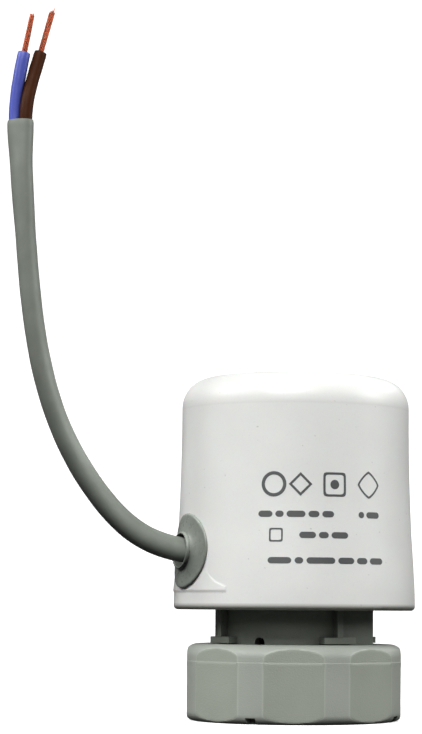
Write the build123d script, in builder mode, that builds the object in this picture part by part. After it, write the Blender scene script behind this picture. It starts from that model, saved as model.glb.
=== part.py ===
from build123d import *
import os
from math import cos, radians, sin, sqrt

os.makedirs("parts", exist_ok=True)

# An electrothermal valve actuator. Millimetres, +Z up along the valve stem.
# Z = 0 is the lower face of the union nut, and the Z axis is the axis of the valve neck.
# Angles are measured round Z from +X, counter-clockwise seen from above.

# ---- Driving dimensions ------------------------------------------------------------------

# Union nut, threaded M30 x 1.5 (the bore is drawn at the minor diameter)
NUT_R = 20.8
NUT_FLAT_R = 20.1
NUT_SIDES = 8
NUT_H = 14.5
NUT_TOP_ROUND = 2.4
NUT_BOTTOM_ROUND = 1.8
THREAD_MINOR_R = 14.188
THREAD_TOP = 9.0
LEAD_IN = 0.4
CHAMBER_R = 16.1
CHAMBER_BOTTOM = 9.4
LIP_R = 15.25
LIP_BOTTOM = 13.0
POCKET_IN_R = 17.0
POCKET_OUT_R = 18.4
POCKET_WEB = 1.2
NOTCH_COUNT = 4
NOTCH_W = 1.9
NOTCH_H = 1.2

# Base body
SEAT_Z = 10.6
SEAT_R = 13.8
COLLAR_R = 15.75
COLLAR_BOTTOM = 11.0
COLLAR_TOP = 12.7
COLLAR_LEAD = 0.4
NECK_R = 15.0
NECK_BORE_R = 12.6
FLOOR_TOP = 12.8
PLATE_R = 20.8
PLATE_BOTTOM = 22.6
PLATE_TOP = 25.0
GUIDE_R = 7.2
GUIDE_TOP = 18.2
RING_GROOVE_R = 6.25
RING_WIRE_R = 0.57
RING_Z = 16.8
RING_GROOVE_H = 1.2
RIB_ANGLE = -58.5
RIB_COUNT = 4
RIB_T = 1.25
RIB_R = 16.35
RIB_ROOT_R = 14.0
FOOT_W = 6.9
FOOT_R = 16.3
FOOT_BOTTOM = 14.7
FOOT_TOP = 15.9
VENT_R = 1.0
VENT_Z = 14.85
VENT_ANGLE = -115.0

# Plunger
STEM_R = 5.0
STEM_FIT = 0.05
STEM_TIP = 11.3
STEM_CHAMFER = 0.5
CROSSBAR_R = 11.7
CROSSBAR_BOTTOM = 18.6
CROSSBAR_TOP = 20.6

# Hood; the wall points are (radius, height) from the rim up to the shoulder
HOOD_BOTTOM = 20.9
HOOD_RIM_R = 22.9
RIM_ROUND = 0.8
WALL_POINTS = [(22.72, 26.8), (22.05, 36.8), (21.65, 47.3)]
HOOD_TOP = 65.4
SHOULDER_X = 21.5
SHOULDER_R = 5.6
CROWN_R = 160.0
HOOD_SOCKET_R = 21.0
SOCKET_TOP = 25.6
SEAL_FIT = 0.05
SEAL_W = 0.8
HOOD_IN_R = 19.9
HOOD_IN_TOP_R = 19.6
HOOD_CEILING = 63.6
CEILING_ROUND = 4.0

# Screws that hold the hood from below
HOOD_SCREW_R = 17.6
HOOD_SCREW_ANGLE = -99.6
HOOD_SCREWS = 3
PILLAR_R = 2.5
PILLAR_TOP = 40.0
PILOT_R = 1.15
PILOT_TOP = 38.0
SHANK_R = 1.1
SHANK_TOP = 33.0
SCREW_HOLE_R = 1.4
HEAD_R = 2.1
HEAD_H = 0.9
HEAD_POCKET_R = 2.3
HEAD_POCKET_H = 1.0
HOOD_DRIVE_SIZE = 2.4
EAR_DRIVE_SIZE = 2.0
DRIVE_DEPTH = 0.5

# Element carrier
CARRIER_R = 14.8
CARRIER_TOP = 28.3
EAR_R = 16.9
EAR_ROUND = 2.3
EAR_HEAD_R = 1.6
EAR_HOLE_FIT = 0.1
EAR_BORE_FIT = 0.05
EAR_SCREW_TOP = 28.0
TOWER_IN_R = 7.6
TOWER_R = 9.0
TOWER_TOP = 44.0
WINDOW_H = 4.5
WINDOW_CLEARANCE = 0.8
SLOT_CLEARANCE = 0.25
TRAY_START = 10.2
TRAY_END = 16.7

# Wax element and its electrical parts
ELEMENT_R = 7.0
ELEMENT_BOTTOM = 31.0
ELEMENT_ROUND = 1.0
ELEMENT_FLANGE_R = 8.8
ELEMENT_FLANGE_TOP = 46.5
ELEMENT_FLANGE_ROUND = 0.8
NOSE_R = 5.0
NOSE_TOP = 52.0
NOSE_CHAMFER = 1.2
PISTON_R = 2.0
PISTON_FIT = 0.05
PISTON_BOTTOM = 47.0
PISTON_CHAMFER = 0.4
HEATER_R = 5.5
CONTACT_T = 0.5
CONTACT_R = 4.6
CONTACT_REACH = 11.5
CONTACT_TAIL = 0.8
CONTACT_W = 2.4
CONTACT_SPREAD = 27.0
CRIMP_R = 1.5
CRIMP_L = 3.0
CRIMP_WALL = 0.45
CRIMP_GAP = 0.1

# Lift cage
CAGE_CAP_R = 11.0
CAGE_CAP_BOTTOM = 56.0
CAGE_CAP_TOP = 59.0
CAGE_CAP_ROUND = 1.0
BAR_IN = 9.3
BAR_OUT = 11.0
BAR_W = 7.0
BAR_OVERLAP = 1.0
SPRING_FLANGE_R = 14.4
SPRING_FLANGE_BOTTOM = 44.0
SPRING_FLANGE_TOP = 46.0

# Main spring
WIRE_R = 0.95
COIL_R = 12.8
COIL_TURNS = 4.5
SPRING_SEAT_BOTTOM = 62.9
SPRING_SEAT_IN_R = 11.0
SPRING_SEAT_OUT_R = 14.6
SPRING_END_GAP = 0.05

# Grommet; the cable leaves along one vertical half plane, and the grommet's axis tilts up
CABLE_ANGLE = -153.6
CABLE_Z = 31.35
GROMMET_TILT = 4.0
GROMMET_HOLE_R = 5.25
GROMMET_BASE_R = 7.0
GROMMET_LIP_T = 0.55
GROMMET_LIP_SPAN = 9.0
GROMMET_CONE_R = 6.5
GROMMET_CONE_START = 20.0
GROMMET_CONE_END = 22.3
GROMMET_WAIST_R = 4.7
GROMMET_WAIST_REACH = 23.0
GROMMET_TIP_R = 3.5
GROMMET_REACH = 24.0
GROMMET_BORE_R = 2.95
GROMMET_BORE_DROP = 0.1
GROMMET_FLANGE_R = 6.2
GROMMET_GROOVE_IN = 18.2
GROMMET_BACK = 16.9
GROMMET_THROAT_END = 22.9

# Web of the hood below the grommet: it stands slightly proud low down and dies out
# upwards. WEB_PROFILE is (radius, height); WEB_OUTLINE is (height above CABLE_Z, side)
WEB_PROFILE = [(22.8, 23.9), (23.03, 24.5), (22.6, 28.6)]
WEB_OUTLINE = [(-2.5, 6.3), (-4.2, 7.9), (-5.4, 9.4), (-6.2, 11.6), (-8.0, 11.9)]

# Cable: the centreline is (reach from the axis, height), and its oval lies turned
SHEATH_START = 13.2
SHEATH_RUN = [
    (SHEATH_START, CABLE_Z),
    (23.74, 32.0),
    (31.03, 34.25),
    (40.81, 42.89),
    (47.72, 54.37),
    (51.97, 68.57),
    (54.28, 87.65),
    (55.43, 108.25),
]
SHEATH_LONG = 5.2
SHEATH_SHORT = 3.9
SECTION_TURN = -57.0
CORE_R = 1.05
CORE_BORE_R = 1.15
CORE_OFFSET = 1.2
CORE_STRAIGHT = 0.6
BLUE_TIP = (54.8, 120.3)
BLUE_LEAN = -12.0
BROWN_TIP = (51.65, 121.0)
BROWN_LEAN = -16.0
STRAND_R = 0.14
STRAND_RING_R = 0.42
BLUE_STRAND_L = 7.6
BLUE_SPLAY = 6.0
BROWN_STRAND_L = 8.8
BROWN_SPLAY = 2.0

# Cable clamp
CLAMP_REACH = 15.2
CLAMP_W = 12.4
CLAMP_D = 2.8
SADDLE_TOP = 30.0
CLAMP_TOP = 35.4
TROUGH_FIT = 0.1
CLAMP_SCREW_SIDE = 4.9
CLAMP_SCREW_R = 0.6
CLAMP_SCREW_BOTTOM = 27.8
CLAMP_BLIND_BOTTOM = 27.3
CLAMP_BLIND_R = 0.65
CLAMP_CLEAR_R = 0.9
CLAMP_HEAD_R = 1.2
CLAMP_HEAD_H = 0.9


# ---- Helpers -----------------------------------------------------------------------------


def around(radius, angle, height):
    """The point at this radius and height, at an angle in degrees round the Z axis."""
    return Vector(radius * cos(radians(angle)), radius * sin(radians(angle)), height)


def cable_point(reach, height, side=0.0):
    """A point in the cable's vertical plane, moved sideways out of it by side."""
    sideways = around(side, CABLE_ANGLE + 90, 0)
    return around(reach, CABLE_ANGLE, height) + sideways


def turn(outline, mode=Mode.ADD):
    """Revolve a closed outline of (radius, height) points about the Z axis."""
    with BuildSketch(Plane.XZ) as profile:
        with BuildLine():
            Polyline(*outline, close=True)
        make_face()
    revolve(profile.sketch, axis=Axis.Z, mode=mode)


def disc(radius, bottom, top, mode=Mode.ADD, hole=0.0):
    """Extrude a round plate, with a central hole if one is given."""
    with BuildSketch(Plane.XY.offset(bottom)) as face:
        Circle(radius)
        if hole:
            Circle(hole, mode=Mode.SUBTRACT)
    extrude(face.sketch, amount=top - bottom, mode=mode)


def rods(radius, bottom, top, places, mode=Mode.ADD):
    """Extrude round rods or holes at the given (x, y) places."""
    with BuildSketch(Plane.XY.offset(bottom)) as face:
        with Locations(*places):
            Circle(radius)
    extrude(face.sketch, amount=top - bottom, mode=mode)


def cross_recess(size, depth, bottom, places):
    """Sink a cross drive into screw heads that face down."""
    with BuildSketch(Plane.XY.offset(bottom)) as face:
        with Locations(*places):
            Rectangle(size, size / 5)
            Rectangle(size / 5, size)
    extrude(face.sketch, amount=depth, mode=Mode.SUBTRACT)


def place_of(radius, angle):
    """The (x, y) pair at this radius and angle."""
    spot = around(radius, angle, 0)
    return (spot.X, spot.Y)


def finish(piece, name):
    """Label a finished piece and write it as its own file."""
    piece.label = name
    export_step(piece, f"parts/{name}.step")


HOOD_SCREW_PLACES = [
    place_of(HOOD_SCREW_R, HOOD_SCREW_ANGLE + 360 * index / HOOD_SCREWS)
    for index in range(HOOD_SCREWS)
]
EAR_PLACES = [(EAR_R, 0), (-EAR_R, 0)]

# ---- Union nut ---------------------------------------------------------------------------

with BuildPart() as union_nut:
    disc(NUT_R, 0, NUT_H)
    fillet(union_nut.edges().sort_by(Axis.Z)[-1], radius=NUT_TOP_ROUND)
    fillet(union_nut.edges().sort_by(Axis.Z)[0], radius=NUT_BOTTOM_ROUND)
    with BuildSketch() as flats:
        RegularPolygon(
            NUT_FLAT_R, NUT_SIDES, major_radius=False, rotation=180 / NUT_SIDES
        )
    extrude(amount=NUT_H, mode=Mode.INTERSECT)
    turn(
        [
            (0, 0),
            (THREAD_MINOR_R + LEAD_IN, 0),
            (THREAD_MINOR_R, LEAD_IN),
            (THREAD_MINOR_R, THREAD_TOP),
            (CHAMBER_R, CHAMBER_BOTTOM),
            (CHAMBER_R, LIP_BOTTOM),
            (LIP_R, LIP_BOTTOM),
            (LIP_R, NUT_H),
            (0, NUT_H),
        ],
        mode=Mode.SUBTRACT,
    )
    # Lightening pockets open downwards, split by a web behind every flat
    pocket_mid_r = (POCKET_IN_R + POCKET_OUT_R) / 2
    with BuildSketch() as pockets:
        Circle(POCKET_OUT_R)
        Circle(POCKET_IN_R, mode=Mode.SUBTRACT)
        with PolarLocations(pocket_mid_r, NUT_SIDES):
            Rectangle(2 * (POCKET_OUT_R - POCKET_IN_R), POCKET_WEB, mode=Mode.SUBTRACT)
    extrude(amount=THREAD_TOP, mode=Mode.SUBTRACT)
    # Four small drain notches through the outer skin, under every second ridge
    with BuildSketch() as notches:
        with PolarLocations(pocket_mid_r, NOTCH_COUNT, start_angle=-180 / NUT_SIDES):
            Rectangle(NUT_R - POCKET_IN_R, NOTCH_W, align=(Align.MIN, Align.CENTER))
    extrude(amount=NOTCH_H, mode=Mode.SUBTRACT)
finish(union_nut.part, "union_nut")

# ---- Base body ---------------------------------------------------------------------------

stem_bore_r = STEM_R + STEM_FIT
groove_bottom = RING_Z - RING_GROOVE_H / 2
groove_top = RING_Z + RING_GROOVE_H / 2

with BuildPart() as base_body:
    turn(
        [
            (stem_bore_r, SEAT_Z),
            (SEAT_R, SEAT_Z),
            (SEAT_R, COLLAR_BOTTOM),
            (COLLAR_R - COLLAR_LEAD, COLLAR_BOTTOM),
            (COLLAR_R, COLLAR_BOTTOM + COLLAR_LEAD),
            (COLLAR_R, COLLAR_TOP),
            (NECK_R, COLLAR_TOP),
            (NECK_R, PLATE_BOTTOM),
            (PLATE_R, PLATE_BOTTOM),
            (PLATE_R, PLATE_TOP),
            (NECK_BORE_R, PLATE_TOP),
            (NECK_BORE_R, FLOOR_TOP),
            (GUIDE_R, FLOOR_TOP),
            (GUIDE_R, GUIDE_TOP),
            (stem_bore_r, GUIDE_TOP),
            (stem_bore_r, groove_top),
            (RING_GROOVE_R, groove_top),
            (RING_GROOVE_R, groove_bottom),
            (stem_bore_r, groove_bottom),
        ]
    )
    with BuildSketch(Plane.XY.offset(FOOT_BOTTOM)) as feet:
        with PolarLocations(RIB_ROOT_R, RIB_COUNT, start_angle=RIB_ANGLE):
            Rectangle(FOOT_R - RIB_ROOT_R, FOOT_W, align=(Align.MIN, Align.CENTER))
    extrude(amount=FOOT_TOP - FOOT_BOTTOM)
    with BuildSketch(Plane.XY.offset(FOOT_TOP)) as ribs:
        with PolarLocations(RIB_ROOT_R, RIB_COUNT, start_angle=RIB_ANGLE):
            Rectangle(RIB_R - RIB_ROOT_R, RIB_T, align=(Align.MIN, Align.CENTER))
    extrude(amount=PLATE_BOTTOM - FOOT_TOP)
    for vent_angle in (VENT_ANGLE, VENT_ANGLE + 180):
        outward = around(1, vent_angle, 0)
        vent_start = around(GUIDE_R + VENT_R, vent_angle, VENT_Z)
        with BuildSketch(Plane(origin=vent_start, z_dir=outward)) as vent:
            Circle(VENT_R)
        extrude(amount=NECK_R - GUIDE_R, mode=Mode.SUBTRACT)
    rods(SCREW_HOLE_R, PLATE_BOTTOM, PLATE_TOP, HOOD_SCREW_PLACES, mode=Mode.SUBTRACT)
    ear_hole_r = SHANK_R + EAR_HOLE_FIT
    rods(ear_hole_r, PLATE_BOTTOM, PLATE_TOP, EAR_PLACES, mode=Mode.SUBTRACT)
    rods(
        HEAD_POCKET_R,
        PLATE_BOTTOM,
        PLATE_BOTTOM + HEAD_POCKET_H,
        HOOD_SCREW_PLACES,
        mode=Mode.SUBTRACT,
    )
finish(base_body.part, "base_body")

# ---- Hood --------------------------------------------------------------------------------

# The shoulder arc touches both the upright wall and the shallow crown
shoulder_mid_r = SHOULDER_X - SHOULDER_R
crown_mid_z = HOOD_TOP - CROWN_R
shoulder_mid_z = crown_mid_z + sqrt((CROWN_R - SHOULDER_R) ** 2 - shoulder_mid_r**2)
crown_lean = shoulder_mid_r / (CROWN_R - SHOULDER_R)
crown_rise = sqrt(1 - crown_lean**2)
crown_start = (CROWN_R * crown_lean, crown_mid_z + CROWN_R * crown_rise)
crown_half = (
    CROWN_R * crown_lean / 2,
    crown_mid_z + sqrt(CROWN_R**2 - (CROWN_R * crown_lean / 2) ** 2),
)
diagonal = sqrt(0.5)
shoulder_half = (
    shoulder_mid_r + SHOULDER_R * diagonal,
    shoulder_mid_z + SHOULDER_R * diagonal,
)
rim_mid = (HOOD_RIM_R - RIM_ROUND, HOOD_BOTTOM + RIM_ROUND)
rim_half = (rim_mid[0] + RIM_ROUND * diagonal, rim_mid[1] - RIM_ROUND * diagonal)
cable_out = around(1, CABLE_ANGLE, 0)

with BuildPart() as hood_envelope:
    with BuildSketch(Plane.XZ) as envelope_outline:
        with BuildLine():
            Line((0, HOOD_BOTTOM), (rim_mid[0], HOOD_BOTTOM))
            ThreePointArc((rim_mid[0], HOOD_BOTTOM), rim_half, (HOOD_RIM_R, rim_mid[1]))
            Spline(
                (HOOD_RIM_R, rim_mid[1]),
                *WALL_POINTS,
                (SHOULDER_X, shoulder_mid_z),
                tangents=[(0, 1), (0, 1)],
            )
            ThreePointArc((SHOULDER_X, shoulder_mid_z), shoulder_half, crown_start)
            ThreePointArc(crown_start, crown_half, (0, HOOD_TOP))
            Line((0, HOOD_TOP), (0, HOOD_BOTTOM))
        make_face()
    revolve(axis=Axis.Z)

# The web that carries the wall down to the rim on both sides of the grommet
with BuildPart() as grommet_web:
    turn(
        [
            (HOOD_SOCKET_R, WEB_PROFILE[0][1]),
            *WEB_PROFILE,
            (HOOD_SOCKET_R, WEB_PROFILE[-1][1]),
        ]
    )
    web_plane = Plane(origin=(0, 0, CABLE_Z), x_dir=(0, 0, 1), z_dir=cable_out)
    mirrored = [(height, -side) for height, side in reversed(WEB_OUTLINE)]
    with BuildSketch(web_plane) as web_outline:
        with BuildLine():
            Polyline(*WEB_OUTLINE, *mirrored, close=True)
        make_face()
    extrude(amount=WEB_PROFILE[1][0], mode=Mode.INTERSECT)

corner_cut = CEILING_ROUND * (1 - diagonal)

with BuildPart() as hood:
    add(hood_envelope.part)
    add(grommet_web.part)
    turn(
        [
            (0, HOOD_BOTTOM),
            (HOOD_SOCKET_R, HOOD_BOTTOM),
            (HOOD_SOCKET_R, SOCKET_TOP),
            (HOOD_IN_R, SOCKET_TOP),
            (HOOD_IN_TOP_R, HOOD_CEILING - CEILING_ROUND),
            (HOOD_IN_TOP_R - corner_cut, HOOD_CEILING - corner_cut),
            (HOOD_IN_TOP_R - CEILING_ROUND, HOOD_CEILING),
            (0, HOOD_CEILING),
        ],
        mode=Mode.SUBTRACT,
    )
    rods(PILLAR_R, PLATE_TOP, PILLAR_TOP, HOOD_SCREW_PLACES)
    rods(PILOT_R, PLATE_TOP, PILOT_TOP, HOOD_SCREW_PLACES, mode=Mode.SUBTRACT)
    hole_start = around(GROMMET_BACK, CABLE_ANGLE, CABLE_Z)
    with BuildSketch(Plane(origin=hole_start, z_dir=cable_out)) as grommet_hole:
        Circle(GROMMET_HOLE_R)
    extrude(amount=HOOD_RIM_R - GROMMET_BACK + 1, mode=Mode.SUBTRACT)
finish(hood.part, "hood")

with BuildPart() as hood_seal:
    seal_r = HOOD_SOCKET_R - SEAL_FIT
    disc(seal_r, PLATE_TOP, SOCKET_TOP, hole=seal_r - SEAL_W)
finish(hood_seal.part, "hood_seal")

# ---- Screws ------------------------------------------------------------------------------

with BuildPart() as hood_screws:
    head_bottom = PLATE_BOTTOM + HEAD_POCKET_H - HEAD_H
    head_top = PLATE_BOTTOM + HEAD_POCKET_H
    rods(HEAD_R, head_bottom, head_top, HOOD_SCREW_PLACES)
    rods(SHANK_R, head_top, SHANK_TOP, HOOD_SCREW_PLACES)
    cross_recess(HOOD_DRIVE_SIZE, DRIVE_DEPTH, head_bottom, HOOD_SCREW_PLACES)
finish(hood_screws.part, "hood_screws")

with BuildPart() as carrier_screws:
    rods(EAR_HEAD_R, PLATE_BOTTOM - HEAD_H, PLATE_BOTTOM, EAR_PLACES)
    rods(SHANK_R, PLATE_BOTTOM, EAR_SCREW_TOP, EAR_PLACES)
    cross_recess(EAR_DRIVE_SIZE, DRIVE_DEPTH, PLATE_BOTTOM - HEAD_H, EAR_PLACES)
finish(carrier_screws.part, "carrier_screws")

# ---- Element carrier ---------------------------------------------------------------------

clamp_screw_places = []
for screw_side in (-CLAMP_SCREW_SIDE, CLAMP_SCREW_SIDE):
    screw_spot = cable_point(CLAMP_REACH, 0, screw_side)
    clamp_screw_places.append((screw_spot.X, screw_spot.Y))
slot_mid = (BAR_IN + BAR_OUT) / 2
slot_depth = BAR_OUT - BAR_IN + 2 * SLOT_CLEARANCE
# The round trough that the sheath lies in, cut half from the saddle, half from the clamp
trough_plane = Plane(
    origin=around(SHEATH_START - 1, CABLE_ANGLE, CABLE_Z), z_dir=cable_out
)
trough_r = SHEATH_LONG / 2 + TROUGH_FIT
trough_l = TRAY_END - SHEATH_START + 2

with BuildPart() as element_carrier:
    with BuildSketch(Plane.XY.offset(PLATE_TOP)) as carrier_outline:
        Circle(CARRIER_R)
        Rectangle(2 * EAR_R, 2 * EAR_ROUND)
        with Locations(*EAR_PLACES):
            Circle(EAR_ROUND)
        with PolarLocations(TRAY_START, 1, start_angle=CABLE_ANGLE):
            Rectangle(TRAY_END - TRAY_START, CLAMP_W, align=(Align.MIN, Align.CENTER))
        with PolarLocations(slot_mid, 2, start_angle=90):
            Rectangle(slot_depth, BAR_W + 2 * SLOT_CLEARANCE, mode=Mode.SUBTRACT)
    extrude(amount=CARRIER_TOP - PLATE_TOP)
    disc(TOWER_R, CARRIER_TOP, TOWER_TOP, hole=TOWER_IN_R)
    # Windows in the tower let the two contacts out towards the cable
    with BuildSketch(Plane.XY.offset(CARRIER_TOP)) as windows:
        for window_angle in (CABLE_ANGLE - CONTACT_SPREAD, CABLE_ANGLE + CONTACT_SPREAD):
            with PolarLocations(0, 1, start_angle=window_angle):
                Rectangle(
                    CONTACT_REACH,
                    CONTACT_W + WINDOW_CLEARANCE,
                    align=(Align.MIN, Align.CENTER),
                )
    extrude(amount=WINDOW_H, mode=Mode.SUBTRACT)
    # The saddle below the cable
    with BuildSketch(Plane.XY.offset(CARRIER_TOP)) as saddle:
        with PolarLocations(CLAMP_REACH, 1, start_angle=CABLE_ANGLE):
            Rectangle(CLAMP_D, CLAMP_W)
    extrude(amount=SADDLE_TOP - CARRIER_TOP)
    ear_bore_r = SHANK_R + EAR_BORE_FIT
    ear_bore_top = EAR_SCREW_TOP + EAR_BORE_FIT
    rods(ear_bore_r, PLATE_TOP, ear_bore_top, EAR_PLACES, mode=Mode.SUBTRACT)
    rods(
        CLAMP_BLIND_R,
        CLAMP_BLIND_BOTTOM,
        SADDLE_TOP,
        clamp_screw_places,
        mode=Mode.SUBTRACT,
    )
    with BuildSketch(trough_plane) as trough:
        Circle(trough_r)
    extrude(amount=trough_l, mode=Mode.SUBTRACT)
finish(element_carrier.part, "element_carrier")

# ---- Wax element, piston and heater ------------------------------------------------------

with BuildPart() as wax_element:
    disc(ELEMENT_R, ELEMENT_BOTTOM, TOWER_TOP)
    fillet(wax_element.edges().sort_by(Axis.Z)[0], radius=ELEMENT_ROUND)
    disc(ELEMENT_FLANGE_R, TOWER_TOP, ELEMENT_FLANGE_TOP)
    fillet(wax_element.edges().sort_by(Axis.Z)[-1], radius=ELEMENT_FLANGE_ROUND)
finish(wax_element.part, "wax_element")

with BuildPart() as element_guide:
    disc(NOSE_R, ELEMENT_FLANGE_TOP, NOSE_TOP)
    chamfer(element_guide.edges().sort_by(Axis.Z)[-1], length=NOSE_CHAMFER)
    nose_bore_r = PISTON_R + PISTON_FIT
    disc(nose_bore_r, ELEMENT_FLANGE_TOP, NOSE_TOP, mode=Mode.SUBTRACT)
finish(element_guide.part, "element_guide")

with BuildPart() as element_piston:
    disc(PISTON_R, PISTON_BOTTOM, CAGE_CAP_BOTTOM)
    chamfer(element_piston.edges().sort_by(Axis.Z)[-1], length=PISTON_CHAMFER)
finish(element_piston.part, "element_piston")

neutral_z = CARRIER_TOP
heater_bottom = neutral_z + CONTACT_T
live_z = ELEMENT_BOTTOM - CONTACT_T

with BuildPart() as ptc_heater:
    disc(HEATER_R, heater_bottom, live_z)
finish(ptc_heater.part, "ptc_heater")

# ---- Lift cage, plunger and seal ---------------------------------------------------------

with BuildPart() as lift_cage:
    disc(CAGE_CAP_R, CAGE_CAP_BOTTOM, CAGE_CAP_TOP)
    fillet(lift_cage.edges().sort_by(Axis.Z)[-1], radius=CAGE_CAP_ROUND)
    with BuildSketch(Plane.XY.offset(CROSSBAR_TOP)) as bars:
        with PolarLocations(slot_mid, 2, start_angle=90):
            Rectangle(BAR_OUT - BAR_IN, BAR_W)
    extrude(amount=CAGE_CAP_BOTTOM + BAR_OVERLAP - CROSSBAR_TOP)
    disc(SPRING_FLANGE_R, SPRING_FLANGE_BOTTOM, SPRING_FLANGE_TOP, hole=BAR_IN)
finish(lift_cage.part, "lift_cage")

with BuildPart() as plunger:
    disc(CROSSBAR_R, CROSSBAR_BOTTOM, CROSSBAR_TOP)
    disc(STEM_R, STEM_TIP, CROSSBAR_BOTTOM)
    chamfer(plunger.edges().sort_by(Axis.Z)[0], length=STEM_CHAMFER)
finish(plunger.part, "plunger")

with BuildPart() as plunger_seal:
    with BuildSketch(Plane.XZ) as ring_section:
        with Locations((stem_bore_r + RING_WIRE_R, RING_Z)):
            Circle(RING_WIRE_R)
    revolve(axis=Axis.Z)
finish(plunger_seal.part, "plunger_seal")

# ---- Main spring -------------------------------------------------------------------------

coil_bottom = SPRING_FLANGE_TOP + SPRING_END_GAP + WIRE_R
coil_height = SPRING_SEAT_BOTTOM - SPRING_END_GAP - WIRE_R - coil_bottom

with BuildPart() as main_spring:
    with BuildLine() as coil:
        Helix(
            coil_height / COIL_TURNS, coil_height, COIL_R, center=(0, 0, coil_bottom)
        )
    with BuildSketch(Plane(origin=coil.line @ 0, z_dir=coil.line % 0)) as wire:
        Circle(WIRE_R)
    sweep(path=coil.line, is_frenet=True)
finish(main_spring.part, "main_spring")

with BuildPart() as spring_seat:
    disc(SPRING_SEAT_OUT_R, SPRING_SEAT_BOTTOM, HOOD_CEILING, hole=SPRING_SEAT_IN_R)
finish(spring_seat.part, "spring_seat")

# ---- Cable grommet -----------------------------------------------------------------------

# Its axis starts on the hood's axis and rises a little on the way out
tilt = radians(GROMMET_TILT)
grommet_axis = around(cos(tilt), CABLE_ANGLE, sin(tilt))
grommet_origin = Vector(0, 0, CABLE_Z - GROMMET_BACK * sin(tilt))
sideways_dir = around(1, CABLE_ANGLE + 90, 0)

# The lip lies on the hood's curved wall, an even skin that is cut round
with BuildPart() as grommet_lip:
    lip_bottom = CABLE_Z - GROMMET_LIP_SPAN
    lip_top = CABLE_Z + GROMMET_LIP_SPAN
    turn(
        [
            (HOOD_SOCKET_R, lip_bottom),
            (HOOD_RIM_R + GROMMET_LIP_T, lip_bottom),
            *[(radius + GROMMET_LIP_T, height) for radius, height in WALL_POINTS[:2]],
            (WALL_POINTS[1][0], lip_top),
            (HOOD_SOCKET_R, lip_top),
        ]
    )
    with BuildSketch(Plane(origin=grommet_origin, z_dir=grommet_axis)) as lip_outline:
        Circle(GROMMET_BASE_R)
    extrude(amount=GROMMET_REACH, mode=Mode.INTERSECT)

with BuildPart() as cable_grommet:
    head_plane = Plane(origin=grommet_origin, x_dir=grommet_axis, z_dir=sideways_dir)
    with BuildSketch(head_plane) as head_section:
        with BuildLine():
            Polyline(
                (GROMMET_REACH, GROMMET_TIP_R),
                (GROMMET_REACH, 0),
                (GROMMET_CONE_START, 0),
                (GROMMET_CONE_START, GROMMET_CONE_R),
                (GROMMET_CONE_END, GROMMET_CONE_R),
            )
            Spline(
                (GROMMET_CONE_END, GROMMET_CONE_R),
                (GROMMET_WAIST_REACH, GROMMET_WAIST_R),
                (GROMMET_REACH, GROMMET_TIP_R),
            )
        make_face()
    revolve(axis=Axis(grommet_origin, grommet_axis))
    add(grommet_lip.part)
    add(hood_envelope.part, mode=Mode.SUBTRACT)
    add(grommet_web.part, mode=Mode.SUBTRACT)
    throat_start = around(GROMMET_BACK, CABLE_ANGLE, CABLE_Z)
    with BuildSketch(Plane(origin=throat_start, z_dir=cable_out)) as throat:
        Circle(GROMMET_HOLE_R)
    extrude(amount=GROMMET_THROAT_END - GROMMET_BACK)
    with BuildSketch(Plane(origin=throat_start, z_dir=cable_out)) as inner_flange:
        Circle(GROMMET_FLANGE_R)
    extrude(amount=GROMMET_GROOVE_IN - GROMMET_BACK)
    bore_start = around(GROMMET_BACK - 1, CABLE_ANGLE, CABLE_Z - GROMMET_BORE_DROP)
    with BuildSketch(Plane(origin=bore_start, z_dir=grommet_axis)) as cable_bore:
        Circle(GROMMET_BORE_R)
    extrude(amount=GROMMET_REACH, mode=Mode.SUBTRACT)
finish(cable_grommet.part, "cable_grommet")

# ---- Cable -------------------------------------------------------------------------------

with BuildLine() as cable_line:
    Spline(
        *[cable_point(reach, height) for reach, height in SHEATH_RUN],
        tangents=[cable_out, Vector(0, 0, 1)],
    )
cable_path = cable_line.line


def section_plane(origin, along):
    """The plane across the cable here, turned so that its oval lies as it should."""
    flat = Plane(origin=origin, x_dir=sideways_dir, z_dir=along)
    turned_x = flat.x_dir * cos(radians(SECTION_TURN)) + flat.y_dir * sin(
        radians(SECTION_TURN)
    )
    return Plane(origin=origin, x_dir=turned_x, z_dir=along)


sheath_plane = section_plane(cable_path @ 0, cable_out)
end_plane = section_plane(cable_path @ 1, Vector(0, 0, 1))

with BuildPart() as cable_sheath:
    with BuildSketch(sheath_plane) as jacket:
        Ellipse(SHEATH_SHORT / 2, SHEATH_LONG / 2)
        with Locations((0, CORE_OFFSET), (0, -CORE_OFFSET)):
            Circle(CORE_BORE_R, mode=Mode.SUBTRACT)
    sweep(path=cable_path)
finish(cable_sheath.part, "cable_sheath")


def crimp_target(height, angle, away):
    """Where a core should end, heading round the tower in the sense of away, +1 or -1."""
    barrel_dir = around(1, angle + 90 * away, 0)
    barrel_mid = around(CONTACT_REACH, angle, height + CRIMP_R)
    return Plane(origin=barrel_mid - barrel_dir * (CRIMP_L / 2), z_dir=barrel_dir)


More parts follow.
